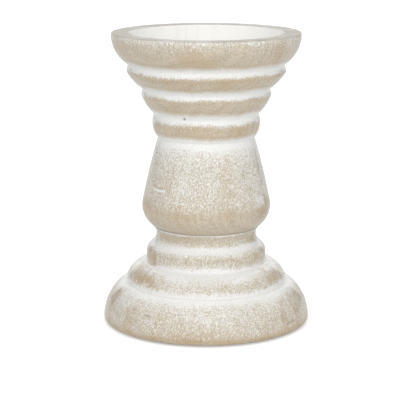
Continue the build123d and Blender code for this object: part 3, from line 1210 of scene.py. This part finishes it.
def whitewashed_wood(name, pith, ring_width):
    """Wood with grain and with white paint that was rubbed off again."""
    material, tree, shader, place = start_material(name)
    shader.inputs["IOR"].default_value = WOOD_IOR
    shader.inputs["Coat Roughness"].default_value = COAT_ROUGHNESS
    wood = bare_wood(tree, place, pith, ring_width)
    wood.colour = weathered(tree, wood)
    paint = whitewash(tree, place, wood)
    coat = math_node(tree, "MULTIPLY_ADD", stored(tree, "worn"), -COAT, COAT)
    tree.links.new(coat, shader.inputs["Coat Weight"])
    film = add(tree, "Bump", Distance=FILM_RELIEF, Height=paint["Film"])
    finish_wood(tree, shader, wood, Normal=film)
    return material


BLANKS = {  # where each blank's pith is, in mm from the axis, and how wide its growth rings are
    "cup": ((34.0, 71.0, 0.0), 3.6),
    "stem": ((-52.0, 38.0, 0.0), 3.1),
    "foot": ((18.0, -86.0, 0.0), 4.1),
}
for node, (pith, ring_width) in BLANKS.items():
    pieces[node].data.materials.append(whitewashed_wood(node + "_wood", pith, ring_width))
print("three blanks of wood, painted white and rubbed")

# %% [markdown]
# ## Dowels
#
# The two dowels are glued inside the piece and never seen once it is assembled. Their shape in the design
# is right, flutes and chamfers included, so they stay, and only get bare wood.

# %% Dowels
def bare_dowel(name, pith, ring_width):
    """Hardwood with grain and nothing on it."""
    material, tree, shader, place = start_material(name)
    shader.inputs["IOR"].default_value = WOOD_IOR
    wood = bare_wood(tree, place, pith, ring_width)
    wood.colour = mix_colours(tree, wood.pores, wood.colour, PORE_BROWN)
    finish_wood(tree, shader, wood)
    return material


dowel_wood = bare_dowel("dowel_wood", (9.0, 6.0, 0.0), 1.6)
for node in ("upper_dowel", "lower_dowel"):
    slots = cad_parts[node].data.materials
    slots.clear()
    slots.append(dowel_wood)
print("two dowels in bare wood")

# %% [markdown]
# ## Felt pads
#
# Four small discs of pressed felt keep the foot from marking a table. Felt is a tangle of short fibres that
# cross in all directions, pale where they catch the light and darker between them. Two noises that are
# stretched across each other stand for the fibres, and a bump makes them stand up. A little sheen gives the
# fuzz.

# %% Felt
FELT_LIGHT = (0.640, 0.610, 0.550, 1.0)
FELT_DARK = (0.400, 0.375, 0.330, 1.0)
FELT_RELIEF = 0.0003


def felt_material():
    """Pressed felt with fibres in both directions."""
    material, tree, shader, place = start_material("pressed_felt")
    shader.inputs["Roughness"].default_value = 1.0
    shader.inputs["Specular IOR Level"].default_value = 0.15
    shader.inputs["Sheen Weight"].default_value = 0.35
    shader.inputs["Sheen Roughness"].default_value = 0.6
    tangle = stretched_noise(tree, place, (2.6, 2.6, 2.6), 4.0, 0.7)
    one_way = stretched_noise(tree, place, (6.5, 1.1, 3.0), 2.0, 0.5)
    other_way = stretched_noise(tree, place, (1.1, 6.5, 3.0), 2.0, 0.5)
    fibres = math_node(tree, "MAXIMUM", one_way, other_way)
    mixed = math_node(tree, "MULTIPLY_ADD", fibres, 0.6, math_node(tree, "MULTIPLY", tangle, 0.4))
    tree.links.new(mix_colours(tree, smooth_step(tree, mixed, 0.38, 0.68), FELT_DARK, FELT_LIGHT),
                   shader.inputs["Base Color"])
    bump = add(tree, "Bump", Distance=FELT_RELIEF, Height=mixed)
    tree.links.new(bump, shader.inputs["Normal"])
    return material


felt = felt_material()
print("felt of", len(felt.node_tree.nodes), "nodes")

# %% [markdown]
# ### Cutting the pads
#
# A plain cylinder would look like plastic. A die cuts felt with a slightly bulging edge, and its faces are
# never flat, so each pad is a spun outline with a soft edge whose points sink in a little at random. It
# uses the same faces between rings as the turned pieces.

# %% Cut the pads
PAD_RINGS, PAD_SEGMENTS = 50, 112
FUZZ_SIZE, FUZZ_DEPTH = 0.55, 0.06
SQUEEZE = 0.012
POLE_DEPTH = 0.02


def pad_outline(radius, thick):
    """Half the section of a pad in mm, with a bulging edge."""
    edge = min(0.45 * thick, 0.45)
    lower = [(0.0, 0.0), (radius - edge, 0.0), (radius - 0.25 * edge, 0.3 * edge)]
    upper = [(reach, thick - rise) for reach, rise in reversed(lower)]
    path = np.array([*lower, (radius, thick / 2), *upper])
    length = along(path)
    return evenly(path, length, np.linspace(0.0, length[-1], PAD_RINGS + 2))[1:-1]


def felt_pad(node, material):
    """A pad with a fuzzy surface, inside the disc of the design."""
    low, high = (np.array(corner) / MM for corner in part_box(node))
    centre = (low + high) / 2.0
    thick = high[2] - low[2]
    outline = pad_outline((high[0] - low[0]) / 2.0, thick)
    radii, heights = np.repeat(outline, PAD_SEGMENTS, axis=0).T.copy()
    theta = np.tile(np.linspace(0.0, 2.0 * math.pi, PAD_SEGMENTS, endpoint=False), len(outline))
    points = np.column_stack([radii * np.cos(theta), radii * np.sin(theta), heights])
    fuzz = 0.5 + 0.5 * lumps(points + centre, (FUZZ_SIZE,) * 3, 31)
    squeeze = 1.0 - SQUEEZE * fuzz
    inwards = np.where(heights > thick / 2, -1.0, 1.0) * (np.abs(heights - thick / 2) > 0.4 * thick)
    points *= np.column_stack([squeeze, squeeze, np.ones(len(points))])
    points[:, 2] += inwards * FUZZ_DEPTH * fuzz
    poles = np.array([[0.0, 0.0, POLE_DEPTH], [0.0, 0.0, thick - POLE_DEPTH]])
    points = (np.concatenate([points, poles]) + np.array([centre[0], centre[1], low[2]])) * MM
    data = bpy.data.meshes.new(node + "_pressed")
    data.from_pydata(points, [], ring_faces(len(outline), PAD_SEGMENTS))
    data.materials.append(material)
    data.shade_smooth()
    pad = bpy.data.objects.new(node + "_pressed", data)
    bpy.context.scene.collection.objects.link(pad)
    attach(pad, "root")
    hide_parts(node)
    return pad


pads = [felt_pad(node, felt) for node in sorted(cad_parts) if node.startswith("felt_pad")]
print(len(pads), "pads of", len(pads[0].data.polygons), "faces")

# %% [markdown]
# ## Size
#
# Nothing may have grown. The box of the finished model is written beside the box of the design, to compare.

# %% Compare the sizes
finished_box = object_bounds()
boxes = {"design": [list(corner) for corner in design_box], "finished": [list(corner) for corner in finished_box]}
for name, corners in boxes.items():
    print(name, [round(value / MM, 2) for corner in corners for value in corner], "mm")
